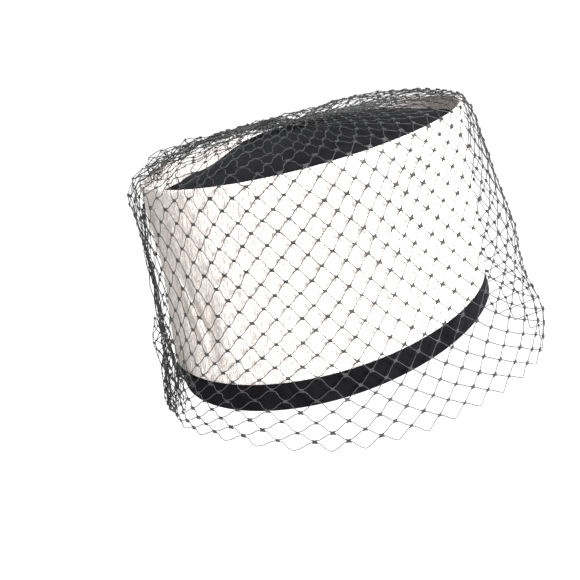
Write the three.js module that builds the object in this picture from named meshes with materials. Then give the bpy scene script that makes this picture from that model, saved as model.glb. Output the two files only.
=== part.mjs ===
// A pillbox hat: a domed velvet crown set inside a tall leather cuff, a velvet band around the
// head opening, and a net veil over the whole hat that stands away in front and hangs below it.
//
// Millimetres, +Z up. The origin is the middle of the head opening, in the plane of the band's
// lower edge. +X is the wearer's front, where the veil stands furthest from the hat, and angles
// are measured from +X towards +Y. Every wall is a closed skin wound around +Z.

import * as THREE from "three";

// ---------------------------------------------------------------- driving dimensions

const SECTORS = 72; // faces around each wall of the hat
const VEIL_SECTORS = 60; // faces around the veil
const GAP = 0.3; // air between two pieces that touch on the real hat
const CUFF_GAP = 0.8; // air between the dented cuff and the crown behind it

const CUFF_WALL = 2.4; // leather over its stiff lining
const CROWN_WALL = 2; // velvet over its stiff lining
const VEIL_WALL = 1.2; // the thickness that stands for the net

// The hat's three level lines. centre is how far a ring leans to the front, slope its fall to
// the front, and wave how far its front and back lift and its two sides dip.
const HEM = { height: 0, centre: 0, radius: 91, slope: 0, wave: 2 };
const FOOT = { height: 14, centre: 0, radius: 91, slope: -0.033, wave: 2 };
const RIM = { height: 110.5, centre: 14, radius: 89, slope: -0.063, wave: 1.2 };

const TIP_DROP = 8; // from the rim down to the crown's seam
const TIP_RISE = 16; // from that seam up to the middle of the dome

// Soft dents in the side band. Each is a smooth hollow around an azimuth and a height, as a
// share of the cuff, with half widths in degrees and in the same share.
const DENTS = [
  { azimuth: 180, height: 0.5, halfWidth: 55, halfHeight: 0.5, depth: 3.0 }, // the waist at the back
  { azimuth: 205, height: 0.45, halfWidth: 9, halfHeight: 0.45, depth: 1.5 }, // three upright folds
  { azimuth: 215, height: 0.35, halfWidth: 8, halfHeight: 0.4, depth: 1.3 },
  { azimuth: 225, height: 0.3, halfWidth: 8, halfHeight: 0.35, depth: 1.0 },
];

// The rounded edges of the cuff and the band: how far in from the outer face, and how far
// short of the ring's own height.
const EDGE_ROLL = [
  { inset: 0, drop: 1.4 },
  { inset: 0.6, drop: 0.3 },
  { inset: CUFF_WALL / 2, drop: 0 },
  { inset: CUFF_WALL - 0.6, drop: 0.3 },
  { inset: CUFF_WALL, drop: 1.4 },
];
const OUTER_LEVELS = [0, 0.15, 0.3, 0.45, 0.6, 0.75, 0.9]; // shares of the cuff's height
const TIP_LEVEL = 1 - TIP_DROP / (RIM.height - FOOT.height); // where the crown's seam lies
const INNER_LEVELS = [0, 0.3, 0.6, TIP_LEVEL];
const DOME_LEVELS = [1, 0.82, 0.6, 0.35]; // shares of the tip's radius

// The veil's clearances from the side band, one row for each eighth of the way around: at the
// shoulder just under the rim, at three named heights, at the brow (the hat's lower edge), half
// way down the skirt and at its hem. drop is how far the hem hangs below the brow, and puff how
// far the net on top bulges above its straight line from the rim to the middle.
const VEIL_AROUND = [
  { azimuth: 0, shoulder: 3.5, high: 8, mid: 14, low: 21, brow: 22, skirt: 27, hem: 21, drop: 45, puff: 1 },
  { azimuth: 45, shoulder: 3.5, high: 7, mid: 11, low: 16, brow: 18, skirt: 21, hem: 18, drop: 42, puff: 3 },
  { azimuth: 90, shoulder: 4, high: 5, mid: 6, low: 8, brow: 10, skirt: 13, hem: 13, drop: 33, puff: 5 },
  { azimuth: 135, shoulder: 5, high: 5, mid: 6, low: 8, brow: 12, skirt: 15, hem: 16, drop: 22, puff: 7 },
  { azimuth: 180, shoulder: 7, high: 6, mid: 4.5, low: 9, brow: 15, skirt: 18, hem: 19, drop: 16, puff: 6 },
  { azimuth: 225, shoulder: 3.5, high: 3, mid: 3, low: 4, brow: 6, skirt: 8, hem: 9, drop: 14, puff: 9 },
  { azimuth: 270, shoulder: 3, high: 2.5, mid: 2.5, low: 3, brow: 4, skirt: 6, hem: 7, drop: 28, puff: 8 },
  { azimuth: 315, shoulder: 3, high: 3.5, mid: 5, low: 8, brow: 11, skirt: 14, hem: 14, drop: 36, puff: 2 },
];
const VEIL_HEIGHT = { high: 88, mid: 60, low: 30, brow: 0 };
const SHOULDER_DROP = 3; // from the rim down to the veil's shoulder
const CREST = 3.2; // the net's height above the rim, where it turns over it
const CREST_INSET = 1; // how far inside the rim that is
const TOP = 13; // the net's height above the rim's plane in the middle of the hat
const CAP_LEVELS = [0.85, 0.6, 0.35, 0.14]; // shares of the way from the middle to the crest

// The net is drawn up into a low ridge along the top, from front to back.
const GATHER = { front: 36, back: -12, rise: 2.5, halfWidth: 12 };

const LEATHER = { name: "white_leather", color: 0xf4f0ea, roughness: 0.5, metalness: 0 };
const VELVET = { name: "black_velvet", color: 0x17171a, roughness: 0.95, metalness: 0 };
const NET = { name: "black_net", color: 0x2c2d2f, roughness: 0.7, metalness: 0 };

// ---------------------------------------------------------------- measures of the hat

const mix = THREE.MathUtils.lerp;

/** A smooth bump, 1 in the middle and 0 from one half width away. */
function bump(distance, halfWidth) {
  const share = Math.min(1, Math.abs(distance) / halfWidth);
  return (1 + Math.cos(Math.PI * share)) / 2;
}

/** The height of a level line above its middle, at an azimuth in radians. */
function ringLift(ring, angle) {
  return ring.slope * ring.radius * Math.cos(angle) + ring.wave * Math.cos(2 * angle);
}

/** A point on a level line, moved in by inset and down by drop. */
function ringPoint(ring, angle, inset = 0, drop = 0) {
  const radius = ring.radius - inset;
  return new THREE.Vector3(
    ring.centre + radius * Math.cos(angle),
    radius * Math.sin(angle),
    ring.height + ringLift(ring, angle) - drop,
  );
}

/** How deep the side band is dented, at an azimuth and at a share of the cuff's height. */
function dentDepth(angle, share) {
  const degrees = THREE.MathUtils.radToDeg(angle);
  const depths = DENTS.map(({ azimuth, height, halfWidth, halfHeight, depth }) => {
    const around = THREE.MathUtils.euclideanModulo(degrees - azimuth + 180, 360) - 180;
    return depth * bump(around, halfWidth) * bump(share - height, halfHeight);
  });
  return depths.reduce((total, depth) => total + depth, 0);
}

/** A point on the side band at a share of the cuff's height, moved in by inset. */
function sidePoint(angle, share, inset) {
  const depth = inset + dentDepth(angle, share);
  return ringPoint(FOOT, angle, depth).lerp(ringPoint(RIM, angle, depth), share);
}

// ---------------------------------------------------------------- closed skins

/** One ring of points around the hat, from a function of the azimuth. */
function ringOf(point, sectors = SECTORS) {
  return Array.from({ length: sectors }, (_, k) => point((2 * Math.PI * k) / sectors));
}

/** A mesh from rings of points and the rows of faces that join them. */
function meshOf(name, finish, vertices, faces) {
  const geometry = new THREE.BufferGeometry();
  const positions = vertices.flatMap((v) => [v.x, v.y, v.z]);
  geometry.setAttribute("position", new THREE.Float32BufferAttribute(positions, 3));
  geometry.setIndex(faces);
  geometry.computeVertexNormals();
  const mesh = new THREE.Mesh(geometry, new THREE.MeshStandardMaterial(finish));
  mesh.name = name;
  return mesh;
}

/** The faces between two neighbouring rings of a skin. */
function bandFaces(lower, upper, sectors) {
  const faces = [];
  for (let k = 0; k < sectors; k += 1) {
    const next = (k + 1) % sectors;
    faces.push(lower + k, lower + next, upper + next);
    faces.push(lower + k, upper + next, upper + k);
  }
  return faces;
}

/** A hoop: rings up the outer face, over the top edge and down the inner face, joined end to end. */
function hoop(name, finish, rings) {
  const faces = rings.flatMap((_, i) =>
    bandFaces(i * SECTORS, ((i + 1) % rings.length) * SECTORS, SECTORS),
  );
  return meshOf(name, finish, rings.flat(), faces);
}

/** A cap with an open foot: outer rings up to their pole, and inner rings down from theirs. */
function cap(name, finish, outerRings, outerPole, innerRings, innerPole, sectors) {
  const down = [...outerRings].reverse();
  const rings = [...down, ...innerRings];
  const vertices = [...rings.flat(), outerPole, innerPole];
  const faces = [];
  for (let i = 0; i + 1 < rings.length; i += 1) {
    faces.push(...bandFaces((i + 1) * sectors, i * sectors, sectors));
  }
  const last = (rings.length - 1) * sectors;
  const outer = rings.length * sectors;
  for (let k = 0; k < sectors; k += 1) {
    const next = (k + 1) % sectors;
    faces.push(k, next, outer);
    faces.push(last + next, last + k, outer + 1);
  }
  return meshOf(name, finish, vertices, faces);
}

// ---------------------------------------------------------------- the hat's pieces

/** The cuff: a dented wall of leather with a rounded top edge. */
function leatherCuff() {
  const outer = OUTER_LEVELS.map((share) => ringOf((a) => sidePoint(a, share, 0)));
  const edge = EDGE_ROLL.map(({ inset, drop }) => ringOf((a) => ringPoint(RIM, a, inset, drop)));
  const inner = INNER_LEVELS.map((share) => ringOf((a) => sidePoint(a, share, CUFF_WALL)));
  return hoop("leather_cuff", LEATHER, [...outer, ...edge, ...inner.reverse()]);
}

/** The band around the head opening: its lower edge is rounded and its upper edge meets the cuff. */
function velvetBand() {
  const edge = EDGE_ROLL.map(({ inset, drop }) => ringOf((a) => ringPoint(HEM, a, inset, -drop)));
  const top = (inset) => ringOf((a) => ringPoint(FOOT, a, inset, GAP));
  return hoop("velvet_band", VELVET, [...edge.reverse(), top(0), top(CUFF_WALL)]);
}

/** A point on the crown's dome, at a share of its radius, moved down by the crown's wall. */
function domePoint(angle, share, inset, down) {
  const edge = sidePoint(angle, TIP_LEVEL, inset);
  const middle = RIM.height - TIP_DROP;
  const rise = TIP_RISE * (1 - share * share) - down;
  return new THREE.Vector3(
    mix(RIM.centre, edge.x, share),
    edge.y * share,
    mix(middle, edge.z, share) + rise,
  );
}

/** The crown: a side wall behind the cuff and the band, and the domed tip. */
function crown() {
  const inset = CUFF_WALL + CUFF_GAP;
  const skin = (wall) => [
    ringOf((a) => ringPoint(HEM, a, inset + wall, -GAP)),
    ...INNER_LEVELS.slice(0, -1).map((share) => ringOf((a) => sidePoint(a, share, inset + wall))),
    ...DOME_LEVELS.map((share) => ringOf((a) => domePoint(a, share, inset + wall, wall))),
  ];
  const pole = (wall) => domePoint(0, 0, inset, wall);
  return cap("crown", VELVET, skin(0), pole(0), skin(CROWN_WALL), pole(CROWN_WALL), SECTORS);
}

// ---------------------------------------------------------------- the veil

/** One column of the veil's table at any azimuth, on a smooth curve through its rows. */
function around(column, angle) {
  const rows = VEIL_AROUND.length;
  const place = (THREE.MathUtils.euclideanModulo(angle, 2 * Math.PI) / (2 * Math.PI)) * rows;
  const row = Math.floor(place);
  const [before, from, to, after] = [-1, 0, 1, 2].map((k) => VEIL_AROUND[(row + k + rows) % rows][column]);
  const t = place - row;
  const lift = (to - before) / 2;
  const land = (after - from) / 2;
  const bend = 2 * (from - to) + lift + land;
  return from + t * (lift + t * (3 * (to - from) - 2 * lift - land + t * bend));
}

/** A point outside the side band: at a height, and at a clearance from the band. */
function besideHat(angle, height, clearance) {
  const share = Math.max(0, (height - FOOT.height) / (RIM.height - FOOT.height));
  const radius = mix(FOOT.radius, RIM.radius, share) + clearance;
  return new THREE.Vector3(
    mix(FOOT.centre, RIM.centre, share) + radius * Math.cos(angle),
    radius * Math.sin(angle),
    height,
  );
}

/** The height of the gathered ridge above the rest of the top, at a place on the hat. */
function gatherRise(x, y) {
  const along = THREE.MathUtils.clamp(x, GATHER.back, GATHER.front);
  return GATHER.rise * bump(Math.hypot(x - along, y), GATHER.halfWidth);
}

/** A point of the veil above the crown, at a share of the way from the middle to the crest. */
function topPoint(angle, share) {
  const crest = ringPoint(RIM, angle, CREST_INSET, -CREST);
  const x = mix(RIM.centre, crest.x, share);
  const y = crest.y * share;
  const line = mix(RIM.height + TOP, crest.z, share);
  const puff = 4 * around("puff", angle) * share * (1 - share);
  return new THREE.Vector3(x, y, line + puff + gatherRise(x, y));
}

/** The veil's section at an azimuth, from the hem up the side and over the rim to the middle. */
function veilSection(angle) {
  const drop = around("drop", angle);
  const rimHeight = RIM.height + ringLift(RIM, angle);
  const side = ["brow", "low", "mid", "high"].map((level) =>
    besideHat(angle, VEIL_HEIGHT[level], around(level, angle)),
  );
  return [
    besideHat(angle, -drop, around("hem", angle)),
    besideHat(angle, -drop / 2, around("skirt", angle)),
    ...side,
    besideHat(angle, rimHeight - SHOULDER_DROP, around("shoulder", angle)),
    ringPoint(RIM, angle, CREST_INSET, -CREST),
    ...CAP_LEVELS.map((share) => topPoint(angle, share)),
  ];
}

/** The veil: one thin skin around the net's outer form, open below. */
function veil() {
  const sections = ringOf(veilSection, VEIL_SECTORS);
  const rings = sections[0].map((_, i) => sections.map((points) => points[i]));
  const shift = (side) =>
    rings.map((ring, i) =>
      ring.map((point, k) => {
        const below = rings[Math.max(0, i - 1)][k];
        const above = rings[Math.min(rings.length - 1, i + 1)][k];
        const behind = ring[(k + VEIL_SECTORS - 1) % VEIL_SECTORS];
        const ahead = ring[(k + 1) % VEIL_SECTORS];
        const normal = ahead.clone().sub(behind).cross(above.clone().sub(below)).normalize();
        return point.clone().addScaledVector(normal, (side * VEIL_WALL) / 2);
      }),
    );
  const pole = (side) => {
    const middle = topPoint(0, 0);
    return middle.setZ(middle.z + (side * VEIL_WALL) / 2);
  };
  return cap("veil", NET, shift(1), pole(1), shift(-1), pole(-1), VEIL_SECTORS);
}

// ---------------------------------------------------------------- assembly

const hat = new THREE.Group();
hat.add(crown(), leatherCuff(), velvetBand(), veil());

export default hat;
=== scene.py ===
"""A pillbox hat with a net veil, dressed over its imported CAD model.

Metres, +Z up. The origin is the middle of the head opening, +X is the wearer's front, and
angles are measured from +X towards +Y. The hat is held up as a head holds it.
"""

from __future__ import annotations

import logging
import math
import random
from collections.abc import Callable, Sequence
from dataclasses import dataclass, replace
from enum import Enum
from typing import Any

import bpy
from mathutils import Matrix, Vector, noise

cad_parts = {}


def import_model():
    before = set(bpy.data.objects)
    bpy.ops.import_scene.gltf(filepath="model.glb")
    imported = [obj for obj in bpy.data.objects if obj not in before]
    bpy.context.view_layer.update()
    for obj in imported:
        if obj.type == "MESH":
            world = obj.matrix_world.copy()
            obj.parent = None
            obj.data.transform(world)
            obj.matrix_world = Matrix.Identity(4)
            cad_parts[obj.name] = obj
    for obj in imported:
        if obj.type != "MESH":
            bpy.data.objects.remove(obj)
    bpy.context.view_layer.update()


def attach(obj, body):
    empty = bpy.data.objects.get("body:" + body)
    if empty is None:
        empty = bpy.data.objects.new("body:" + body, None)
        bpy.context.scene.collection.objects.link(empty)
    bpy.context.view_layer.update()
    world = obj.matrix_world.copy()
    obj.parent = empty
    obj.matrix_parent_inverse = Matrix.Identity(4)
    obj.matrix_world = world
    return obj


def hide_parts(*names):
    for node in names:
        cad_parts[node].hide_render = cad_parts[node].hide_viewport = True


LOG = logging.getLogger("pillbox_hat")
MM = 0.001
NOISE_SEED = 12  # without it, noise_vector differs from run to run
TURN = 2 * math.pi
Ring = list[Vector]
Stop = tuple[float, float, float]
Socket = bpy.types.NodeSocket
Colour = tuple[float, float, float]
WHITE = (1.0, 1.0, 1.0, 1.0)


# ------------------------------------------------------------------ measures of the hat


def mix(start: float, end: float, share: float) -> float:
    """The value at a share of the way from start to end."""
    return start + (end - start) * share


def bump(distance: float, half_width: float) -> float:
    """A smooth bump, 1 in the middle and 0 from one half width away."""
    return (1 + math.cos(math.pi * min(1.0, abs(distance) / half_width))) / 2


def smooth(share: float) -> float:
    """A share eased at both ends."""
    share = min(1.0, max(0.0, share))
    return share * share * (3 - 2 * share)


def turned(degrees: float) -> float:
    """An angle brought to between -180 and 180 degrees."""
    return (degrees + 180) % 360 - 180


def table_value(columns: Sequence[float], angle: float) -> float:
    """A value around the hat, on a smooth curve through one column of a table.

    Args:
        columns: the values at even steps from azimuth 0.
        angle: the azimuth in radians.

    Returns:
        The value at that azimuth.
    """
    rows = len(columns)
    place = (angle % TURN) / TURN * rows
    row = math.floor(place)
    before, start, end, after = (columns[(row + k) % rows] for k in (-1, 0, 1, 2))
    t = place - row
    lift = (end - before) / 2
    land = (after - start) / 2
    curve = 3 * (end - start) - 2 * lift - land
    return start + t * (lift + t * (curve + t * (2 * (start - end) + lift + land)))


@dataclass(frozen=True)
class LevelLine:
    """A line around the hat that is level, apart from its slope and its wave.

    centre is how far the line leans to the front, slope its fall to the front, and wave how
    far its front and back lift while its two sides dip.
    """

    height: float
    centre: float
    radius: float
    slope: float
    wave: float

    def lift(self, angle: float) -> float:
        """How far the line lies above its middle height at an azimuth."""
        return self.slope * self.radius * math.cos(angle) + self.wave * math.cos(2 * angle)

    def point(self, angle: float, inset: float = 0.0, drop: float = 0.0) -> Vector:
        """A point on the line, moved in by inset and down by drop."""
        radius = self.radius - inset
        return Vector(
            (
                self.centre + radius * math.cos(angle),
                radius * math.sin(angle),
                self.height + self.lift(angle) - drop,
            )
        )


@dataclass(frozen=True)
class Dent:
    """A soft hollow in the side band, at an azimuth and at a share of the cuff's height.

    tilt is how many degrees the hollow would lean back over the cuff's whole height.
    """

    azimuth: float
    height: float
    half_width: float
    half_height: float
    depth: float
    tilt: float = 0.0

    def depth_at(self, degrees: float, share: float) -> float:
        """How deep the hollow is at an azimuth and a height."""
        up = share - self.height
        across = bump(turned(degrees - self.azimuth + self.tilt * up), self.half_width)
        return self.depth * across * bump(up, self.half_height)


@dataclass(frozen=True)
class HatForm:
    """The hat's three level lines, its dents and its dome, which every piece shares."""

    hem: LevelLine = LevelLine(0.0, 0.0, 91 * MM, 0.0, 2 * MM)
    foot: LevelLine = LevelLine(14 * MM, 0.0, 91 * MM, -0.033, 2 * MM)
    rim: LevelLine = LevelLine(110.5 * MM, 14 * MM, 89 * MM, -0.063, 1.2 * MM)
    dents: tuple[Dent, ...] = (
        Dent(180, 0.5, 55, 0.5, 3.0 * MM),
        Dent(213, 0.42, 4, 0.42, 2.4 * MM, 30),
        Dent(221, 0.38, 3.5, 0.36, 1.8 * MM, 22),
        Dent(227, 0.32, 7, 0.38, 1.6 * MM),
        Dent(262, 0.45, 10, 0.28, 0.9 * MM),
    )
    tip_drop: float = 8 * MM
    tip_rise: float = 16 * MM

    @property
    def tip_level(self) -> float:
        """The crown's seam, as a share of the cuff's height."""
        return 1 - self.tip_drop / (self.rim.height - self.foot.height)

    def side(self, angle: float, share: float, inset: float = 0.0) -> Vector:
        """A point on the side band at a share of the cuff's height, moved in by inset."""
        degrees = math.degrees(angle)
        depth = inset + sum(dent.depth_at(degrees, share) for dent in self.dents)
        return self.foot.point(angle, depth).lerp(self.rim.point(angle, depth), share)

    def dome(self, angle: float, share: float, inset: float, down: float) -> Vector:
        """A point on the crown's tip, at a share of its radius, moved down by down."""
        edge = self.side(angle, self.tip_level, inset)
        rise = self.tip_rise * (1 - share * share) - down
        middle = self.rim.height - self.tip_drop
        return Vector(
            (mix(self.rim.centre, edge.x, share), edge.y * share, mix(middle, edge.z, share) + rise)
        )


def put(name: str, data: bpy.types.ID) -> bpy.types.Object:
    """Puts a mesh, a camera or a light into the scene as an object at the origin."""
    item = bpy.data.objects.new(name, data)
    bpy.context.scene.collection.objects.link(item)
    return item


def ring(point: Callable[[float], Vector], sectors: int) -> Ring:
    """One ring of points around the hat, from a function of the azimuth."""
    return [point(TURN * k / sectors) for k in range(sectors)]


def shell(
    name: str, rings: Sequence[Ring], loop: bool, poles: tuple[Vector, Vector] | None
) -> bpy.types.Object:
    """A closed skin through rings of points.

    Args:
        name: the piece's name.
        rings: rings with the same number of points, in order along the skin.
        loop: True if the last ring joins the first.
        poles: the points that close the first and the last ring, where they aren't joined.

    Returns:
        The piece, smooth shaded, with its faces outwards.
    """
    sectors = len(rings[0])
    vertices = [point for points in rings for point in points]
    pairs = list(zip(range(len(rings) - 1), range(1, len(rings))))
    if loop:
        pairs.append((len(rings) - 1, 0))
    faces: list[tuple[int, ...]] = []
    for low, high in pairs:
        for k in range(sectors):
            after = (k + 1) % sectors
            faces.append(
                (low * sectors + k, low * sectors + after, high * sectors + after, high * sectors + k)
            )
    if poles:
        first = len(vertices)
        vertices += list(poles)
        last = (len(rings) - 1) * sectors
        for k in range(sectors):
            after = (k + 1) % sectors
            faces.append((after, k, first))
            faces.append((last + k, last + after, first + 1))
    mesh = bpy.data.meshes.new(name)
    mesh.from_pydata(vertices, [], faces)
    mesh.shade_smooth()
    mesh.update()
    return put(name, mesh)


# ------------------------------------------------------------------ finishes


class MaterialSlot(Enum):
    """The record's material slots."""

    LEATHER = "white_leather"
    VELVET = "black_velvet"
    NET = "black_net"


class Shader:
    """A material's node tree, with short ways to add and join nodes."""

    def __init__(self, name: str) -> None:
        """Starts a material with only its surface shader."""
        self.material = bpy.data.materials.new(name)
        self.material.use_nodes = True
        self.tree = self.material.node_tree
        self.surface = self.tree.nodes["Principled BSDF"]

    def add(self, kind: str, settings: dict[str, Any] | None = None, **inputs: Any) -> bpy.types.Node:
        """Adds a node.

        Args:
            kind: the node's type.
            settings: its properties.
            inputs: its input sockets by name, with _ for a space: a value or a socket to join.

        Returns:
            The node.
        """
        node = self.tree.nodes.new(kind)
        for key, value in (settings or {}).items():
            setattr(node, key, value)
        for key, value in inputs.items():
            self.join(value, node.inputs[key.replace("_", " ")])
        return node

    def join(self, value: Any, socket: Socket) -> None:
        """Joins a socket to an input, or sets the input's own value."""
        if isinstance(value, Socket):
            self.tree.links.new(value, socket)
        else:
            socket.default_value = value

    def set_surface(self, **inputs: Any) -> None:
        """Sets the surface's inputs by name, with _ for a space: a value or a socket to join."""
        for key, value in inputs.items():
            self.join(value, self.surface.inputs[key.replace("_", " ")])

    def place(self, scale: tuple[float, float, float] = (1, 1, 1), turn: float = 0.0) -> Socket:
        """Object coordinates, turned about Y by an angle in degrees and then scaled."""
        points = self.add("ShaderNodeTexCoord").outputs["Object"]
        level = self.add("ShaderNodeMapping", Vector=points, Rotation=(0, math.radians(turn), 0))
        scaled = self.add("ShaderNodeMapping", Vector=level.outputs["Vector"], Scale=scale)
        return scaled.outputs["Vector"]

    def ramp(self, value: Socket, stops: Sequence[tuple[float, Colour]]) -> Socket:
        """A colour from a value, through stops of place and colour."""
        node = self.add("ShaderNodeValToRGB", Fac=value)
        elements = node.color_ramp.elements
        while len(elements) < len(stops):
            elements.new(0.5)
        for element, (place, colour) in zip(elements, stops):
            element.position = place
            element.color = (*colour, 1.0)
        return node.outputs["Color"]

    def noise(self, place: Socket, scale: float, detail: float = 3.0, twist: float = 0.0) -> Socket:
        """A soft noise at a scale in waves per metre."""
        node = self.add(
            "ShaderNodeTexNoise", Vector=place, Scale=scale, Detail=detail, Distortion=twist
        )
        return node.outputs["Fac"]

    def blend(self, share: Socket, start: Any, end: Any) -> Socket:
        """A colour mixed from two by a share."""
        node = self.add("ShaderNodeMix", {"data_type": "RGBA"})
        self.join(share, node.inputs["Factor"])
        self.join(start, node.inputs[6])
        self.join(end, node.inputs[7])
        return node.outputs[2]

    def math(self, operation: str, first: Any, second: Any = 0.5) -> Socket:
        """One sum of two values."""
        node = self.add("ShaderNodeMath", {"operation": operation})
        self.join(first, node.inputs[0])
        self.join(second, node.inputs[1])
        return node.outputs[0]

    def raise_surface(self, layers: Sequence[tuple[Socket, float, float]]) -> None:
        """Adds bumps to the surface, one over the other, each a height, a strength and a depth."""
        normal: Any = None
        for height, strength, depth in layers:
            node = self.add("ShaderNodeBump", Height=height, Strength=strength, Distance=depth)
            if normal is not None:
                self.join(normal, node.inputs["Normal"])
            normal = node.outputs["Normal"]
        self.join(normal, self.surface.inputs["Normal"])


@dataclass(frozen=True)
class Creases:
    """A net of creases: how many to a metre, how much they wander, and their half widths.

    thin is half the width of a crease's line, sunk in the bump and painted darker as shade, and wide half
    the width over which it fades.
    """

    scale: float
    twist: float
    thin: float
    wide: float


@dataclass(frozen=True)
class CrinkledLeather:
    """Thin white leather, drawn into fine creases over a stiff lining, with shade painted into its creases
    and folds.
    """

    light: Colour = (0.94, 0.885, 0.85)
    shade: Colour = (0.86, 0.79, 0.745)
    # painted shade: the colour that the creases and folds are darkened towards, and how far the creases
    # are darkened
    crease: Colour = (0.62, 0.54, 0.49)
    crease_shade: float = 0.3
    # painted shade: how far the upright folds are darkened towards the crease colour
    fold_shade: float = 0.4
    roughness: float = 0.55
    gloss: float = 0.35
    slant: float = -16.0
    coarse: Creases = Creases(150, 1.4, 0.035, 0.11)
    fine: Creases = Creases(420, 1.0, 0.05, 0.16)

    def creased(self, shader: Shader, creases: Creases) -> Socket:
        """1 in a crease and 0 away from it, for creases that run mostly up and down."""
        place = shader.place((1.0, 1.0, 0.42), self.slant)
        field = shader.noise(place, creases.scale, 4, creases.twist)
        folded = shader.math("ABSOLUTE", shader.math("SUBTRACT", field, 0.5))
        edge = (0.35, 0.35, 0.35)
        return shader.ramp(folded, [(0.0, (1, 1, 1)), (creases.thin, edge), (creases.wide, (0, 0, 0))])

    def material(self) -> bpy.types.Material:
        """The leather's material."""
        shader = Shader("white_leather")
        coarse = self.creased(shader, self.coarse)
        fine = self.creased(shader, self.fine)
        both = shader.math("MAXIMUM", coarse, shader.math("MULTIPLY", fine, 0.6))
        broad = shader.noise(shader.place((1.0, 1.0, 0.5)), 26, 2, 0.5)
        patch = shader.ramp(broad, [(0.42, self.light), (0.72, self.shade)])
        # painted shade: the creases darkened towards the crease colour
        shade_colour = (*self.crease, 1.0)
        crease_shaded = shader.blend(shader.math("MULTIPLY", both, self.crease_shade), patch, shade_colour)
        # painted shade: the upright folds darkened by how deep they lie
        fold = shader.add("ShaderNodeAttribute", {"attribute_name": "fold"}).outputs["Fac"]
        fold_shaded = shader.blend(shader.math("MULTIPLY", fold, self.fold_shade), crease_shaded, shade_colour)
        shader.set_surface(
            Base_Color=fold_shaded, Roughness=self.roughness, Specular_IOR_Level=self.gloss
        )
        grain = shader.noise(shader.place(), 1500, 2)
        sunk = shader.math("SUBTRACT", 1.0, both)
        swell = shader.noise(shader.place((1.0, 1.0, 0.4), self.slant), 230, 3, 1.2)
        shader.raise_surface(
            [(broad, 0.5, 0.0012), (swell, 0.9, 0.0015), (sunk, 0.9, 0.0009), (grain, 0.3, 0.0002)]
        )
        return shader.material


@dataclass(frozen=True)
class Velvet:
    """Short-pile black velvet, a little paler where its pile turns."""

    deep: Colour = (0.0035, 0.0035, 0.0045)
    pale: Colour = (0.008, 0.008, 0.0095)
    sheen: float = 0.035
    roughness: float = 0.95

    def material(self) -> bpy.types.Material:
        """The velvet's material."""
        shader = Shader("black_velvet")
        nap = shader.noise(shader.place((1.0, 1.0, 0.6)), 60, 3, 0.8)
        shader.set_surface(
            Base_Color=shader.ramp(nap, [(0.35, self.deep), (0.7, self.pale)]),
            Roughness=self.roughness,
            Specular_IOR_Level=0.04,
            Sheen_Weight=self.sheen,
            Sheen_Roughness=0.45,
            Sheen_Tint=(0.75, 0.78, 0.85, 1.0),
        )
        pile = shader.noise(shader.place(), 2600, 2)
        shader.raise_surface([(nap, 0.4, 0.0008), (pile, 0.6, 0.0003)])
        return shader.material


@dataclass(frozen=True)
class NetThread:
    """Stiff black millinery thread."""

    deep: Colour = (0.010, 0.0105, 0.011)
    pale: Colour = (0.030, 0.031, 0.033)
    sheen: float = 0.05
    roughness: float = 0.6

    def material(self) -> bpy.types.Material:
        """The thread's material."""
        shader = Shader("black_net")
        wear = shader.noise(shader.place(), 500, 2)
        tone = shader.ramp(wear, [(0.35, self.deep), (0.65, self.pale)])
        shader.set_surface(Base_Color=tone, Roughness=self.roughness, Sheen_Weight=self.sheen)
        slanted = {"bands_direction": "DIAGONAL"}
        place = shader.place()
        twist = shader.add("ShaderNodeTexWave", slanted, Vector=place, Scale=900.0, Distortion=1.0)
        shader.raise_surface([(twist.outputs["Fac"], 0.3, 0.0001)])
        return shader.material


# ------------------------------------------------------------------ the hat's solid pieces


@dataclass
class Piece:
    """A part of the hat that stands for one CAD node."""

    form: HatForm
    finish: CrinkledLeather | Velvet | NetThread
    slot: MaterialSlot

    def dress(self, piece: bpy.types.Object, node: str, material: bpy.types.Material) -> None:
        """Gives a piece its material and its place on the body.

        Args:
            piece: the finished piece.
            node: the CAD node that it stands for.
            material: its material.
        """
        piece.data.materials.clear()
        piece.data.materials.append(material)
        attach(piece, "root")
        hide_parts(node)
        LOG.info("%s stands for %s, %d faces", piece.name, node, len(piece.data.polygons))


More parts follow.
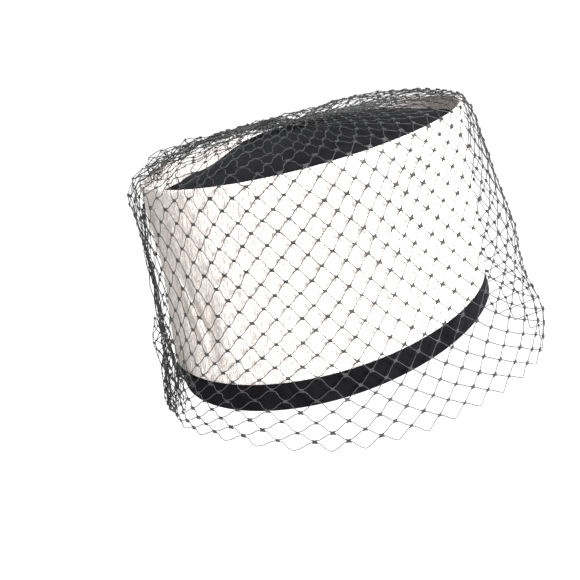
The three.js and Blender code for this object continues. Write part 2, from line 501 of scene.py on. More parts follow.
@dataclass
class LeatherCuff(Piece):
    """The tall cuff: a crinkled wall of leather with a soft rolled edge."""

    wall: float = 2.4 * MM
    sectors: int = 480
    levels: int = 96
    edge_steps: int = 10
    lining_levels: int = 24
    crinkle: float = 0.28 * MM
    ripple: float = 0.55 * MM
    widest_fold: float = 20.0
    full_fold: float = 3 * MM

    def unevenness(self, place: Vector, share: float) -> float:
        """How far the leather stands in from its smooth form.

        Args:
            place: the point on the smooth wall.
            share: its share of the cuff's height.

        Returns:
            The depth in metres, 0 at both edges.
        """
        hold = smooth(share / 0.08) * smooth((1 - share) / 0.05)
        back = 0.35 + 0.65 * smooth((0.02 - place.x) / 0.09)
        fine = noise.noise(Vector((place.x * 170, place.y * 170, place.z * 80)))
        broad = noise.noise(Vector((place.x * 55, place.y * 55, place.z * 18 + 7)))
        return hold * back * (self.crinkle * (0.5 + fine) + self.ripple * (0.5 + broad))

    def outer(self, angle: float, share: float) -> Vector:
        """A point on the leather's face."""
        smooth_place = self.form.side(angle, share)
        return self.form.side(angle, share, self.unevenness(smooth_place, share))

    def mark_folds(self, piece: bpy.types.Object) -> None:
        """Notes on the cuff's mesh how deep in a fold each point lies, from 0 to 1, for the shade painted
        into the folds.
        """
        foot, rim = self.form.foot, self.form.rim
        marks = piece.data.attributes.new("fold", "FLOAT", "POINT")
        for vertex, mark in zip(piece.data.vertices, marks.data):
            share = (vertex.co.z - foot.height) / (rim.height - foot.height)
            across = vertex.co.x - mix(foot.centre, rim.centre, share)
            degrees = math.degrees(math.atan2(vertex.co.y, across))
            folds = (d for d in self.form.dents if d.half_width < self.widest_fold)
            mark.value = min(1.0, sum(d.depth_at(degrees, share) for d in folds) / self.full_fold)

    def build(self) -> bpy.types.Object:
        """Builds the cuff and dresses it in leather."""
        edge_share = 1 - self.wall / 2 / (self.form.rim.height - self.form.foot.height)
        rings = [
            ring(lambda a, s=k / self.levels * edge_share: self.outer(a, s), self.sectors)
            for k in range(self.levels + 1)
        ]
        for step in range(1, self.edge_steps):
            turn = math.pi * step / self.edge_steps
            inset = self.wall / 2 * (1 - math.cos(turn))
            drop = self.wall / 2 * (1 - math.sin(turn))
            rings.append(ring(lambda a, i=inset, d=drop: self.form.rim.point(a, i, d), self.sectors))
        for k in range(self.lining_levels + 1):
            share = edge_share * (1 - k / self.lining_levels)
            rings.append(ring(lambda a, s=share: self.form.side(a, s, self.wall), self.sectors))
        piece = shell("cuff_leather", rings, True, None)
        self.mark_folds(piece)
        self.dress(piece, "leather_cuff", self.finish.material())
        return piece


@dataclass
class VelvetBand(Piece):
    """The band around the head opening, rounded at both edges."""

    wall: float = 2.4 * MM
    sectors: int = 360
    gap: float = 0.2 * MM
    face_levels: int = 16
    edge_steps: int = 8

    def build(self) -> bpy.types.Object:
        """Builds the band and dresses it in velvet."""
        rings = []
        half = self.wall / 2
        top = replace(self.form.foot, height=self.form.foot.height - self.gap)

        def edge(line: LevelLine, up: float, start: float) -> None:
            """Adds a half-round edge at a level line."""
            for step in range(self.edge_steps + 1):
                turn = start + math.pi * step / self.edge_steps
                inset = half * (1 - math.cos(turn))
                drop = up * half * (1 - abs(math.sin(turn)))
                rings.append(ring(lambda a, i=inset, d=drop: line.point(a, i, d), self.sectors))

        def face(share: float, inset: float) -> Ring:
            """One ring on the face of the band."""

            def point(angle: float) -> Vector:
                low = self.form.hem.point(angle, inset, -half)
                high = top.point(angle, inset, half)
                return low.lerp(high, share)

            return ring(point, self.sectors)

        rings += [face(k / self.face_levels, 0.0) for k in range(1, self.face_levels)]
        edge(top, 1.0, 0.0)
        rings += [face(share, self.wall) for share in (0.7, 0.3)]
        edge(self.form.hem, -1.0, math.pi)
        piece = shell("band_velvet", rings, True, None)
        self.dress(piece, "velvet_band", self.finish.material())
        return piece


@dataclass
class Crown(Piece):
    """The crown: the domed tip with its side wall, hollow for the head."""

    inset: float = 3.2 * MM
    wall: float = 2.0 * MM
    sectors: int = 240
    side_levels: int = 20
    dome_levels: int = 40
    slack: float = 0.5 * MM
    swells: tuple[tuple[float, float, float, float], ...] = (
        (-60 * MM, 12 * MM, 56 * MM, -11.5 * MM),
        (-26 * MM, 64 * MM, 44 * MM, -5.0 * MM),
        (34 * MM, 78 * MM, 17 * MM, 2.6 * MM),
    )

    def swell(self, x: float, y: float) -> float:
        """How far the tip stands above its even dome at a place on the hat."""
        rises = (
            rise * bump(math.hypot(x - at_x, y - at_y), reach) for at_x, at_y, reach, rise in self.swells
        )
        sway = noise.noise(Vector((x * 45, y * 45, 3.0)))
        return sum(rises) + self.slack * sway

    def skin(self, wall: float) -> list[Ring]:
        """The rings of one face of the crown, from its foot to near its pole."""
        depth = self.inset + wall

        def tip(angle: float, share: float) -> Vector:
            """A point of the tip, where the velvet lies a little unevenly."""
            place = self.form.dome(angle, share, depth, wall)
            place.z += self.swell(place.x, place.y)
            return place

        rings = [ring(lambda a: self.form.hem.point(a, depth, -0.3 * MM), self.sectors)]
        for k in range(self.side_levels):
            share = self.form.tip_level * k / self.side_levels
            rings.append(ring(lambda a, s=share: self.form.side(a, s, depth), self.sectors))
        for k in range(self.dome_levels):
            share = 1 - k / self.dome_levels
            rings.append(ring(lambda a, s=share: tip(a, s), self.sectors))
        return rings

    def pole(self, wall: float) -> Vector:
        """The middle of one face of the tip."""
        place = self.form.dome(0.0, 0.0, self.inset, wall)
        place.z += self.swell(place.x, place.y)
        return place

    def build(self) -> bpy.types.Object:
        """Builds the crown and dresses it in velvet."""
        outer = self.skin(0.0)
        inner = self.skin(self.wall)
        rings = inner[::-1] + outer
        piece = shell("crown_velvet", rings, False, (self.pole(self.wall), self.pole(0.0)))
        self.dress(piece, "crown", self.finish.material())
        return piece


# ------------------------------------------------------------------ the veil


@dataclass(frozen=True)
class VeilForm:
    """The net's form: clearances from the side band at each eighth of the way around.

    The columns are in millimetres, from azimuth 0 in steps of 45 degrees. drop is how far the
    hem hangs below the hat, crest how high the net passes over the rim, puff how far the top
    bulges above its straight line, spread how many degrees a column stands off its even place
    at the rim, and lean how many more it turns on its way down to 35 mm below the hat.
    crest_rows is how many half rows of the net there are from the hem to the rim, and
    skirt_rows how far apart they stand on the skirt, against the wall.
    """

    form: HatForm = HatForm()
    shoulder: tuple[float, ...] = (3.5, 3.5, 4, 5, 7, 3.5, 3, 3)
    high: tuple[float, ...] = (8, 7, 5, 5, 6, 3, 2.5, 3.5)
    mid: tuple[float, ...] = (14, 11, 6, 6, 3.8, 3, 2.5, 5)
    low: tuple[float, ...] = (21, 16, 8, 8, 5.5, 4, 3, 8)
    brow: tuple[float, ...] = (22, 18, 10, 12, 11, 6, 4, 11)
    skirt: tuple[float, ...] = (27, 21, 13, 14, 13, 7, 6, 14)
    hem: tuple[float, ...] = (21, 18, 13, 14, 13, 8, 7, 14)
    drop: tuple[float, ...] = (42, 40, 33, 22, 16, 14, 27, 32)
    crest: tuple[float, ...] = (2, 4.2, 5.2, 4.8, 2.6, 3.2, 3.2, 3)
    puff: tuple[float, ...] = (3.5, 5, 3, 4, 6, 8, 7, 4.5)
    spread: tuple[float, ...] = (-2, 0, 0, 0, 0, -0.2, 1.8, -3.6)
    lean: tuple[float, ...] = (26, 24, 20, 25, 0, -50, -12, 10)
    crest_rows: tuple[float, ...] = (23.4, 24, 24.4, 24, 23.4, 23.2, 24.9, 23.9)
    skirt_rows: tuple[float, ...] = (0.95, 0.9, 0.85, 0.83, 0.83, 0.8, 0.82, 0.94)
    heights: tuple[float, ...] = (0, 30, 60, 88)
    lean_start: float = 75 * MM
    lean_reach: float = 110 * MM
    lean_growth: float = 2.4
    shoulder_drop: float = 3 * MM
    crest_inset: float = 1 * MM
    top: float = 8.7 * MM
    gather_front: tuple[float, float] = (28 * MM, -14 * MM)
    gather_back: tuple[float, float] = (-10 * MM, -9 * MM)
    gather_rise: float = 0.8 * MM
    gather_half_width: float = 12 * MM
    gather_wall: float = 2.0 * MM
    fineness: int = 8

    def beside(self, angle: float, height: float, clearance: float) -> Vector:
        """A point outside the side band, at a height and a clearance in metres."""
        foot, rim = self.form.foot, self.form.rim
        share = max(0.0, (height - foot.height) / (rim.height - foot.height))
        radius = mix(foot.radius, rim.radius, share) + clearance
        centre = mix(foot.centre, rim.centre, share)
        return Vector((centre + radius * math.cos(angle), radius * math.sin(angle), height))

    def roof(self, x: float, y: float) -> Vector:
        """The point of the net's top above a place on the hat."""
        rim = self.form.rim
        angle = math.atan2(y, x - rim.centre)
        share = min(1.0, math.hypot(x - rim.centre, y) / (rim.radius - self.crest_inset))
        line = mix(rim.height + self.top, self.crest_point(angle).z, share)
        puff = 4 * MM * table_value(self.puff, angle) * share * (1 - share)
        back, front = Vector(self.gather_back), Vector(self.gather_front)
        way = front - back
        along = min(1.0, max(0.0, (Vector((x, y)) - back).dot(way) / way.length_squared))
        away = (Vector((x, y)) - back - way * along).length
        ridge = self.gather_rise * bump(away, self.gather_half_width)
        return Vector((x, y, line + puff + ridge))

    def crest_point(self, angle: float) -> Vector:
        """The point where a column of the net passes over the rim."""
        return self.form.rim.point(angle, self.crest_inset, -table_value(self.crest, angle) * MM)

    def path(self, angle: float) -> list[Vector]:
        """One column of the net, from the hem up the side, over the rim and to the gather.

        Args:
            angle: the column's azimuth at the rim.

        Returns:
            Close points along the column.
        """
        rim = self.form.rim
        angle += math.radians(table_value(self.spread, angle))
        lean = math.radians(table_value(self.lean, angle))

        def leaning(height: float) -> float:
            """The column's azimuth at a height."""
            share = max(0.0, (self.lean_start - height) / self.lean_reach)
            return angle + lean * min(1.0, share) ** self.lean_growth

        def side(name: str, height: float) -> Vector:
            """A point of the side at a height, at the named clearance."""
            there = leaning(height)
            return self.beside(there, height, table_value(getattr(self, name), there) * MM)

        drop = table_value(self.drop, leaning(-table_value(self.drop, angle) * MM)) * MM
        knots = [side("hem", -drop), side("skirt", -drop / 2)]
        for name, height in zip(("brow", "low", "mid", "high"), self.heights):
            knots.append(side(name, height * MM))
        knots.append(side("shoulder", rim.height + rim.lift(angle) - self.shoulder_drop))
        crest = self.crest_point(angle)
        knots.append(crest)
        back, front = Vector(self.gather_back), Vector(self.gather_front)
        end = back.lerp(front, (1 + math.cos(angle)) / 2)
        end.y += self.gather_wall * math.sin(angle)
        for k in range(1, 9):
            share = k / 8
            knots.append(self.roof(mix(crest.x, end.x, share), mix(crest.y, end.y, share)))
        return self.rounded(knots)

    def rounded(self, knots: Sequence[Vector]) -> list[Vector]:
        """Close points on a smooth curve through a row of points."""
        points = []
        for k in range(len(knots) - 1):
            before = knots[max(0, k - 1)]
            after = knots[min(len(knots) - 1, k + 2)]
            start, end = knots[k], knots[k + 1]
            length = (end - start).length
            lift = (end - before).normalized() * length
            land = (after - start).normalized() * length
            for step in range(self.fineness):
                t = step / self.fineness
                points.append(
                    start * (2 * t**3 - 3 * t**2 + 1)
                    + lift * (t**3 - 2 * t**2 + t)
                    + end * (3 * t**2 - 2 * t**3)
                    + land * (t**3 - t**2)
                )
        points.append(knots[-1].copy())
        return points


def layout_object(
    mesh: bpy.types.Mesh,
    ways: dict[str, Sequence[Vector]],
    measures: dict[str, Sequence[float]] | None = None,
) -> bpy.types.Object:
    """Puts a layout into the scene, with a way or a measure at each of its points.

    Args:
        mesh: the layout's points, and its edges if it has any.
        ways: directions by name, one for each point.
        measures: numbers by name, one for each point.

    Returns:
        The object that holds the layout.
    """
    for name, values in ways.items():
        attribute = mesh.attributes.new(name, "FLOAT_VECTOR", "POINT")
        attribute.data.foreach_set("vector", [part for way in values for part in way])
    for name, numbers in (measures or {}).items():
        mesh.attributes.new(name, "FLOAT", "POINT").data.foreach_set("value", list(numbers))
    return put(mesh.name, mesh)


class Recipe:
    """A Geometry Nodes tree, with named sizes and short ways to add and join nodes."""

    def __init__(self, name: str) -> None:
        """Starts a tree with one geometry in and one out."""
        self.tree = bpy.data.node_groups.new(name, "GeometryNodeTree")
        face = self.tree.interface
        face.new_socket("Geometry", in_out="INPUT", socket_type="NodeSocketGeometry")
        face.new_socket("Geometry", in_out="OUTPUT", socket_type="NodeSocketGeometry")
        self.start = self.tree.nodes.new("NodeGroupInput")
        self.end = self.tree.nodes.new("NodeGroupOutput")
        self.sizes: dict[str, tuple[str, Any]] = {}

    @property
    def geometry(self) -> Socket:
        """The geometry that comes in."""
        return self.start.outputs["Geometry"]

    def size(self, name: str, value: float, kind: str = "NodeSocketFloat") -> Socket:
        """A named input of the tree, with the value that the modifier gives it."""
        socket = self.tree.interface.new_socket(name, in_out="INPUT", socket_type=kind)
        self.sizes[name] = (socket.identifier, value)
        return self.start.outputs[name]

    def add(self, kind: str, settings: dict[str, Any] | None = None, **inputs: Any) -> bpy.types.Node:
        """Adds a node.

        Args:
            kind: the node's type.
            settings: its properties.
            inputs: its enabled inputs by name, with _ for a space: a value or a socket to join.

        Returns:
            The node.
        """
        node = self.tree.nodes.new(kind)
        for key, value in (settings or {}).items():
            setattr(node, key, value)
        for key, value in inputs.items():
            socket = next(s for s in node.inputs if s.name == key.replace("_", " ") and s.enabled)
            if isinstance(value, Socket):
                self.tree.links.new(value, socket)
            else:
                socket.default_value = value
        return node

    def attribute(self, name: str, kind: str = "FLOAT_VECTOR") -> Socket:
        """A named attribute of the layout."""
        node = self.add("GeometryNodeInputNamedAttribute", {"data_type": kind}, Name=name)
        return next(s for s in node.outputs if s.name == "Attribute" and s.enabled)

    def finish(self, geometry: Socket, material: bpy.types.Material) -> None:
        """Realizes the instances, sets the material and ends the tree."""
        real = self.add("GeometryNodeRealizeInstances", Geometry=geometry)
        dressed = self.add("GeometryNodeSetMaterial", Geometry=real.outputs["Geometry"], Material=material)
        self.tree.links.new(dressed.outputs["Geometry"], self.end.inputs["Geometry"])

    def bake(self, layout: bpy.types.Object, name: str) -> bpy.types.Object:
        """Runs the tree on a layout and keeps the result as a plain mesh.

        Args:
            layout: the object that holds the layout.
            name: the name of the finished piece.

        Returns:
            The piece, with no modifier left on it.
        """
        modifier = layout.modifiers.new("recipe", "NODES")
        modifier.node_group = self.tree
        for identifier, value in self.sizes.values():
            modifier[identifier] = value
        layout.update_tag()
        bpy.context.view_layer.update()
        seen = layout.evaluated_get(bpy.context.evaluated_depsgraph_get())
        mesh = bpy.data.meshes.new_from_object(seen)
        layout.modifiers.remove(modifier)
        bpy.data.objects.remove(layout)
        piece = put(name, mesh)
        for attribute in list(mesh.attributes):
            if attribute.name in ("pull", "along", "outward", "measure"):
                mesh.attributes.remove(attribute)
        return piece


@dataclass
class NetPatch:
    """A closed stretch of netting: for each half column, a place for every half row.

    bow is how far the threads bow at a place, as a share of the knots' spacing, knot_size the
    share of a full knot at a place, and hem is True where the lowest half row is a row of plain
    loops with no knots.
    """

    places: list[Ring]
    bow: Callable[[Vector], float]
    hem: bool = True
    knot_size: Callable[[Vector], float] = lambda place: 0.6

    def neighbour(self, k: int, row: int, side: int) -> tuple[int, int]:
        """The knot that a thread reaches from a knot, one half row down."""
        return (k + side) % len(self.places), row - 1

    def knots(self) -> list[tuple[int, int]]:
        """The half column and half row of every crossing."""
        rows = range(len(self.places[0]))
        return [(k, row) for k in range(len(self.places)) for row in rows if (k + row) % 2 == 0]

    def along(self, k: int, row: int) -> Vector:
        """The way along the row at a crossing, one half column long."""
        count = len(self.places)
        return (self.places[(k + 1) % count][row] - self.places[(k - 1) % count][row]) / 2

    def outward(self, k: int, row: int) -> Vector:
        """The way out of the net at a crossing."""
        column = self.places[k]
        up = column[min(len(column) - 1, row + 1)] - column[max(0, row - 1)]
        return self.along(k, row).cross(up).normalized()


@dataclass(frozen=True)
class NetFold:
    """A fold of the net, drawn together like a soft flat tube of netting.

    across is half its width and through half its depth, and crumple how far its knots stray.
    """

    line: Ring
    across: float
    through: float
    columns: int
    half_rows: int
    crumple: float
    offset: float

    def place_at(self, share: float) -> tuple[Vector, Vector]:
        """A place on the fold's line, and the way along it there."""
        at = min(len(self.line) - 1.0001, max(0.0, share * (len(self.line) - 1)))
        k = int(at)
        way = self.line[min(k + 1, len(self.line) - 1)] - self.line[k]
        return self.line[k].lerp(self.line[k + 1], at - k), way.normalized()

    def patch(self, centre: Vector) -> NetPatch:
        """The fold's netting.

        Args:
            centre: a point that the fold's flat side faces.

        Returns:
            The patch, with its threads almost straight.
        """
        places: list[Ring] = [[] for _ in range(2 * self.columns)]
        for row in range(self.half_rows + 1):
            share = row / self.half_rows
            place, way = self.place_at(share)
            out = (place - centre).normalized()
            level = way.cross(out).normalized()
            out = level.cross(way)
            draw = 1 - 0.35 * math.sin(3.1 * math.pi * share + self.offset)
            for k, column in enumerate(places):
                turn = TURN * k / len(places) + 0.8 * math.sin(5 * share + self.offset)
                offset = level * (self.across * draw * math.cos(turn))
                offset += out * (self.through * draw * math.sin(turn))
                stray = noise.noise_vector((place + offset) * 160 + Vector((self.offset, row, k)))
                column.append(place + offset + stray * self.crumple)
        return NetPatch(places, lambda place: 0.12, False)


@dataclass
class NetVeil(Piece):
    """The veil: diamond netting from a gather on top of the crown down to a hem of loops.

    turn is the first column's azimuth, shoulder_stretch how far apart the half rows stand below
    the rim, and wobble how far a knot strays. pleats and ruck are in millimetres, at each eighth
    of the way around: how deep the wall's pleats are and how far the top is crumpled. sways is
    how many times a line down the back sways, and puff_foot and puff_rise, in millimetres, how
    high the puff over the rim stands at its ends and how much more in its middle.
    """

    veil: VeilForm = VeilForm()
    columns: int = 50
    half_rows: int = 36
    turn: float = -78.0
    thread: float = 0.42 * MM
    knot: float = 1.75 * MM
    shoulder_stretch: float = 0.9
    sways: float = 1.25
    puff_foot: float = 2.5
    puff_rise: float = 3.0
    puff_inset: float = 9 * MM
    wobble: float = 0.3 * MM
    pleats: tuple[float, ...] = (0, 0, 0, 0.8, 2.0, 0.5, 0, 0)
    ruck: tuple[float, ...] = (0.8, 1.4, 2.2, 5.0, 4.5, 3.2, 2.2, 1.0)
    seed: int = 11

    def row_places(self, angle: float) -> Ring:
        """The places of the half rows along a column of the net.

        Args:
            angle: the column's even azimuth.

        Returns:
            One place for each half row, from the hem up.
        """
        path = self.veil.path(angle)
        crest_row = table_value(self.veil.crest_rows, angle)
        skirt = table_value(self.veil.skirt_rows, angle)
        rim = self.form.rim.height
        lengths = [0.0]
        crest = 0
        for k, (a, b) in enumerate(zip(path, path[1:])):
            if not crest and a.z > rim - 12 * MM and b.z - a.z < (b - a).length * 0.5:
                crest = k
            stretch = mix(skirt, 1.0, smooth((a.z + 25 * MM) / (40 * MM)))
            stretch = mix(stretch, self.shoulder_stretch, smooth((a.z - 70 * MM) / (25 * MM)))
            lengths.append(lengths[-1] + (b - a).length / (1.0 if crest else stretch))
        places = []
        at = 0
        for row in range(self.half_rows + 1):
            if row < crest_row:
                target = lengths[crest] * row / crest_row
            else:
                share = (row - crest_row) / (self.half_rows - crest_row)
                target = mix(lengths[crest], lengths[-1], share)
            while at < len(lengths) - 2 and lengths[at + 1] < target:
                at += 1
            span = lengths[at + 1] - lengths[at]
            places.append(path[at].lerp(path[at + 1], (target - lengths[at]) / span))
        return places

    def lattice(self) -> list[Ring]:
        """The main net's even places: for each half column, one for every half row."""
        steps = 2 * self.columns
        return [self.row_places(math.radians(self.turn) + TURN * k / steps) for k in range(steps)]

    def main_patch(self) -> NetPatch:
        """The main net, with its pleats at the back and its crumpled top."""
        chance = random.Random(self.seed)
        places = self.lattice()
        rim = self.form.rim.height
        for k, column in enumerate(places):
            angle = math.radians(self.turn) + math.pi * k / self.columns
            pleat = table_value(self.pleats, angle) * MM
            ruck = table_value(self.ruck, angle) * MM
            out = Vector((math.cos(angle), math.sin(angle), 0.0))
            for row, place in enumerate(column):
                wall = smooth((rim - 15 * MM - place.z) / (50 * MM))
                top = smooth((place.z - rim + 6 * MM) / (6 * MM))
                rise = math.sin(TURN * k / 7 + 1.2 * math.sin(row / 5))
                sway = noise.noise_vector(place * 85 + Vector((0, 0, 9)))
                place += out * (pleat * wall * (0.6 + rise)) + sway * (ruck * top)
                place += Vector([chance.uniform(-self.wobble, self.wobble) for _ in range(3)])
        return NetPatch(places, self.bow, True, self.tightness)

    def tightness(self, place: Vector) -> float:
        """How large the knots are tied at a place: smaller on the top than down the side."""
        return mix(1.0, 0.62, smooth((place.z - self.form.rim.height) / (10 * MM)))

    def bow(self, place: Vector) -> float:
        """How far the main net's threads bow: least where it is stretched, in front, most on top."""
        side = mix(0.17, 0.06, smooth((place.x + 60 * MM) / (100 * MM)))
        return mix(side, 0.34, smooth((place.z - self.form.rim.height) / (6 * MM)))

    def line_beside(self, top: Stop, foot: Stop, count: int, swing: float = 0.0) -> Ring:
        """A line down the outside of the side band.

        Args:
            top: its azimuth in degrees, and its height and clearance in millimetres, at its top.
            foot: the same at its foot.
            count: how many points it has.
            swing: how far it sways to either side on its way, in degrees.

        Returns:
            The line's points, from its top down.
        """
        points = []
        for k in range(count):
            share = k / (count - 1)
            azimuth, height, clearance = (mix(a, b, share) for a, b in zip(top, foot))
            azimuth += swing * math.cos(TURN * self.sways * share)
            points.append(self.veil.beside(math.radians(azimuth), height * MM, clearance * MM))
        return points

    def puff_line(self, start: float, step: float, count: int) -> Ring:
        """A line over the rim, which rises to a puff in its middle.

        Args:
            start: its first azimuth in degrees.
            step: how many degrees lie between its points.
            count: how many points it has.

        Returns:
            The line's points.
        """
        points = []
        for k in range(count):
            rise = (self.puff_foot + self.puff_rise * math.sin(math.pi * k / (count - 1))) * MM
            angle = math.radians(start - step * k)
            points.append(self.form.rim.point(angle, self.puff_inset, -rise))
        return points

    def roll_line(self, count: int) -> Ring:
        """A wandering line along the gather, a little longer than the gather at both ends."""
        back, front = Vector(self.veil.gather_back), Vector(self.veil.gather_front)
        points = []
        for k in range(count):
            place = back.lerp(front, k / (count - 1) * 1.1 - 0.05)
            points.append(self.veil.roof(place.x, place.y + 2 * MM * math.sin(k * 1.7)))
        return points

    def folds(self) -> list[NetPatch]:
        """The folds at the back, where the net's ends meet, the puff over the rim and the gather."""
        seam = self.line_beside((198, 110, 5.0), (198, -5, 6.5), 10, swing=8)
        tail = self.line_beside((191, 45, 5.4), (191, -6, 9.5), 5)
        bunch = self.line_beside((201, 21, 3.6), (213, 14, 3.6), 4)
        brim = self.puff_line(200, 12, 8)
        roll = self.roll_line(9)
        middle = Vector((0.0, 0.0, 50 * MM))
        below = middle - Vector((0.0, 0.0, 0.5))
        return [
            NetFold(seam, 2.5 * MM, 1.3 * MM, 3, 17, 1.8 * MM, 0.4).patch(middle),
            NetFold(tail, 2.0 * MM, 3.9 * MM, 4, 11, 1.0 * MM, 2.1).patch(middle),
            NetFold(bunch, 2.2 * MM, 1.6 * MM, 5, 7, 1.3 * MM, 0.7).patch(middle),
            NetFold(brim, 4.0 * MM, 3.4 * MM, 3, 17, 2.6 * MM, 0.9).patch(below),
            NetFold(roll, 3.6 * MM, 1.5 * MM, 11, 9, 1.6 * MM, 1.3).patch(below),
        ]

    def build(self) -> list[bpy.types.Object]:
        """Builds the threads and the knots, and dresses them as net."""
        patches = [self.main_patch(), *self.folds()]
        material = self.finish.material()
        threads = self.thread_recipe(material).bake(self.thread_layout(patches), "veil_threads")
        knots = self.knot_recipe(material).bake(self.knot_layout(patches), "veil_knots")
        for piece in (threads, knots):
            self.dress(piece, "veil", material)
        return [threads, knots]

    def thread_layout(self, patches: Sequence[NetPatch]) -> bpy.types.Object:
        """One edge for each thread, with the pull that bows it at each end."""
        ends: list[Vector] = []
        pulls: list[Vector] = []
        for patch in patches:
            for k, row in patch.knots():
                for side in (-1, 1) if row else ():
                    other = patch.neighbour(k, row, side)
                    low, high = patch.places[other[0]][other[1]], patch.places[k][row]
                    reach = 2 * patch.bow(high) * side
                    ends += [high, low]
                    pulls += [patch.along(k, row) * reach, patch.along(*other) * -reach]
        layout = bpy.data.meshes.new("threads_layout")
        layout.from_pydata(ends, [(i, i + 1) for i in range(0, len(ends), 2)], [])
        return layout_object(layout, {"pull": pulls})

    def thread_recipe(self, material: bpy.types.Material) -> Recipe:
        """The tree that turns each edge of the layout into a bowed thread."""
        recipe = Recipe("veil_threads")
        width = recipe.size("Thread width", self.thread)
        steps = recipe.size("Steps along a thread", 5, "NodeSocketInt")
        curve = recipe.add("GeometryNodeMeshToCurve", Mesh=recipe.geometry).outputs["Curve"]
        bezier = {"spline_type": "BEZIER"}
        curve = recipe.add("GeometryNodeCurveSplineType", bezier, Curve=curve).outputs["Curve"]
        pull = recipe.attribute("pull")
        for side in ("LEFT", "RIGHT"):
            curve = recipe.add(
                "GeometryNodeSetCurveHandlePositions", {"mode": side}, Curve=curve, Offset=pull
            ).outputs["Curve"]
        fine = recipe.add("GeometryNodeSetSplineResolution", Geometry=curve, Resolution=steps)
        curve = fine.outputs["Geometry"]
        radius = recipe.add("ShaderNodeMath", {"operation": "MULTIPLY"})
        recipe.tree.links.new(width, radius.inputs[0])
        radius.inputs[1].default_value = 0.5
        section = recipe.add("GeometryNodeCurvePrimitiveCircle", Resolution=4, Radius=radius.outputs[0])
        tube = recipe.add("GeometryNodeCurveToMesh", Curve=curve, Profile_Curve=section.outputs["Curve"])
        recipe.finish(tube.outputs["Mesh"], material)
        return recipe

    def knot_layout(self, patches: Sequence[NetPatch]) -> bpy.types.Object:
        """One point for each knot, with the way it lies and its own size."""
        chance = random.Random(self.seed + 1)
        places, rows, outs, sizes = [], [], [], []
        for patch in patches:
            for k, row in patch.knots():
                if row == 0 and patch.hem:
                    continue
                places.append(patch.places[k][row])
                rows.append(patch.along(k, row).normalized())
                outs.append(patch.outward(k, row))
                sizes.append(chance.uniform(0.85, 1.15) * patch.knot_size(places[-1]))
        layout = bpy.data.meshes.new("knots_layout")
        layout.from_pydata(places, [], [])
        return layout_object(layout, {"along": rows, "outward": outs}, {"measure": sizes})

    def knot_recipe(self, material: bpy.types.Material) -> Recipe:
        """The tree that ties a flat four-armed knot at each point of the layout."""
        recipe = Recipe("veil_knots")
        reach = recipe.size("Knot reach", self.knot)
        waist = recipe.size("Knot waist", self.knot * 0.48)
        thick = recipe.size("Knot thickness", 0.7 * MM)
        star = recipe.add("GeometryNodeCurveStar", Points=4, Inner_Radius=waist, Outer_Radius=reach)
        filled = recipe.add("GeometryNodeFillCurve", Curve=star.outputs["Curve"])
        deep = recipe.add("GeometryNodeExtrudeMesh", Mesh=filled.outputs["Mesh"], Offset_Scale=thick)
        on_corner = recipe.add(
            "GeometryNodeTransform", Geometry=deep.outputs["Mesh"], Rotation=(0.0, 0.0, math.radians(45))
        )
        flat = recipe.add(
            "GeometryNodeTransform", Geometry=on_corner.outputs["Geometry"], Scale=(1.0, 0.7, 1.0)
        )
        turn = recipe.add(
            "FunctionNodeAxesToRotation",
            {"primary_axis": "Z", "secondary_axis": "X"},
            Primary_Axis=recipe.attribute("outward"),
            Secondary_Axis=recipe.attribute("along"),
        )
        instances = recipe.add(
            "GeometryNodeInstanceOnPoints",
            Points=recipe.geometry,
            Instance=flat.outputs["Geometry"],
            Rotation=turn.outputs["Rotation"],
            Scale=recipe.attribute("measure", "FLOAT"),
        )
        recipe.finish(instances.outputs["Instances"], material)
        return recipe


# ------------------------------------------------------------------ the studio


@dataclass(frozen=True)
class View:
    """A camera that looks at the hat from behind its right shoulder, a little above it."""

    place: tuple[float, float, float] = (13.81 * MM, -465.85 * MM, 173.33 * MM)
    yaw: float = -3.81
    pitch: float = 16.98
    roll: float = -19.08
    lens: float = 52.84

    def build(self) -> bpy.types.Object:
        """Makes the camera and gives it to the scene."""
        yaw, pitch, roll = (math.radians(a) for a in (self.yaw, self.pitch, self.roll))
        ahead = Vector(
            (math.sin(yaw) * math.cos(pitch), math.cos(yaw) * math.cos(pitch), -math.sin(pitch))
        )
        level = Vector((math.cos(yaw), -math.sin(yaw), 0.0))
        up = level.cross(ahead)
        right = level * math.cos(roll) + up * math.sin(roll)
        upright = up * math.cos(roll) - level * math.sin(roll)
        data = bpy.data.cameras.new("view")
        data.lens = self.lens
        data.sensor_width = 36.0
        data.clip_start = 0.02
        data.clip_end = 50.0
        camera = put("view", data)
        turn = Matrix((right, upright, -ahead)).transposed().to_4x4()
        camera.matrix_world = Matrix.Translation(self.place) @ turn
        bpy.context.scene.camera = camera
        return camera


@dataclass(frozen=True)
class SoftLight:
    """One soft light: where it hangs, how large it is and how strong."""

    name: str
    place: tuple[float, float, float]
    size: float
    power: float
    colour: Colour = (1.0, 1.0, 1.0)
    aim: tuple[float, float, float] = (0.0, 0.0, 0.05)

    def build(self) -> bpy.types.Object:
        """Hangs the light and turns it to the hat."""
        data = bpy.data.lights.new(self.name, "AREA")
        data.shape = "DISK"
        data.size = self.size
        data.energy = self.power
        data.color = self.colour
        light = put(self.name, data)
        light.location = self.place
        away = Vector(self.aim) - Vector(self.place)
        light.rotation_euler = away.to_track_quat("-Z", "Y").to_euler()
        light.visible_camera = False
        return light


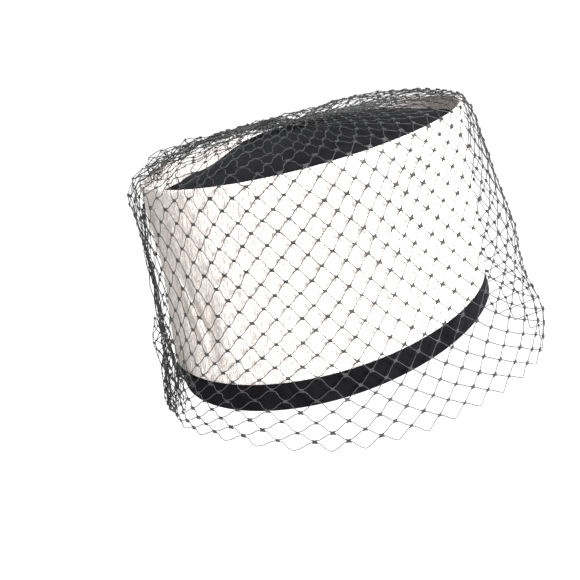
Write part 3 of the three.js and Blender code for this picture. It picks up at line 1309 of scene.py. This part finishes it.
@dataclass(frozen=True)
class Studio:
    """A white studio: a pale floor well below the hat, a white room and soft lights."""

    floor_height: float = -0.30
    floor_size: float = 14.0
    room: float = 0.36
    glow: float = 0.98
    backdrop: float = 1.05
    lights: tuple[SoftLight, ...] = (
        SoftLight("key", (0.92, -1.42, 0.75), 0.4, 66.0),
        SoftLight("front", (-0.1, -1.85, 0.6), 0.4, 4.0, (1.0, 0.92, 0.86)),
        SoftLight("fill", (-1.0, -0.9, 1.3), 0.5, 6.5, (1.0, 0.95, 0.91)),
        SoftLight("high", (1.0, -0.5, 1.3), 0.8, 34.0),
    )

    def build(self) -> None:
        """Builds the room, the floor and the lights."""
        self.build_room()
        self.build_floor()
        for light in self.lights:
            light.build()

    def build_room(self) -> None:
        """Makes the white room: dim to light the hat, and bright where the camera sees it."""
        world = bpy.data.worlds.new("room")
        world.use_nodes = True
        tree = world.node_tree
        light = tree.nodes["Background"]
        light.inputs["Color"].default_value = WHITE
        light.inputs["Strength"].default_value = self.room
        seen = tree.nodes.new("ShaderNodeBackground")
        seen.inputs["Color"].default_value = WHITE
        seen.inputs["Strength"].default_value = self.backdrop
        rays = tree.nodes.new("ShaderNodeLightPath")
        both = tree.nodes.new("ShaderNodeMixShader")
        tree.links.new(rays.outputs["Is Camera Ray"], both.inputs[0])
        tree.links.new(light.outputs[0], both.inputs[1])
        tree.links.new(seen.outputs[0], both.inputs[2])
        tree.links.new(both.outputs[0], tree.nodes["World Output"].inputs["Surface"])
        bpy.context.scene.world = world
        bpy.context.scene.view_settings.view_transform = "Standard"

    def build_floor(self) -> None:
        """Lays the pale floor."""
        half = self.floor_size / 2
        mesh = bpy.data.meshes.new("floor")
        corners = [(-half, -half), (half, -half), (half, half), (-half, half)]
        mesh.from_pydata([(x, y, self.floor_height) for x, y in corners], [], [(0, 1, 2, 3)])
        floor = put("floor", mesh)
        shader = Shader("pale_floor")
        shader.set_surface(
            Base_Color=(0.2, 0.2, 0.2, 1.0),
            Roughness=1.0,
            Specular_IOR_Level=0.0,
            Emission_Color=WHITE,
            Emission_Strength=self.glow,
        )
        mesh.materials.append(shader.material)


def main() -> None:
    """Builds the hat over its frame, then the studio."""
    logging.basicConfig(level=logging.INFO, format="%(message)s")
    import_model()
    noise.seed_set(NOISE_SEED)
    form = HatForm()
    velvet = Velvet()
    LeatherCuff(form, CrinkledLeather(), MaterialSlot.LEATHER).build()
    VelvetBand(form, velvet, MaterialSlot.VELVET).build()
    Crown(form, velvet, MaterialSlot.VELVET).build()
    NetVeil(form, NetThread(), MaterialSlot.NET).build()
    View().build()
    Studio().build()


if __name__ == "__main__":
    main()
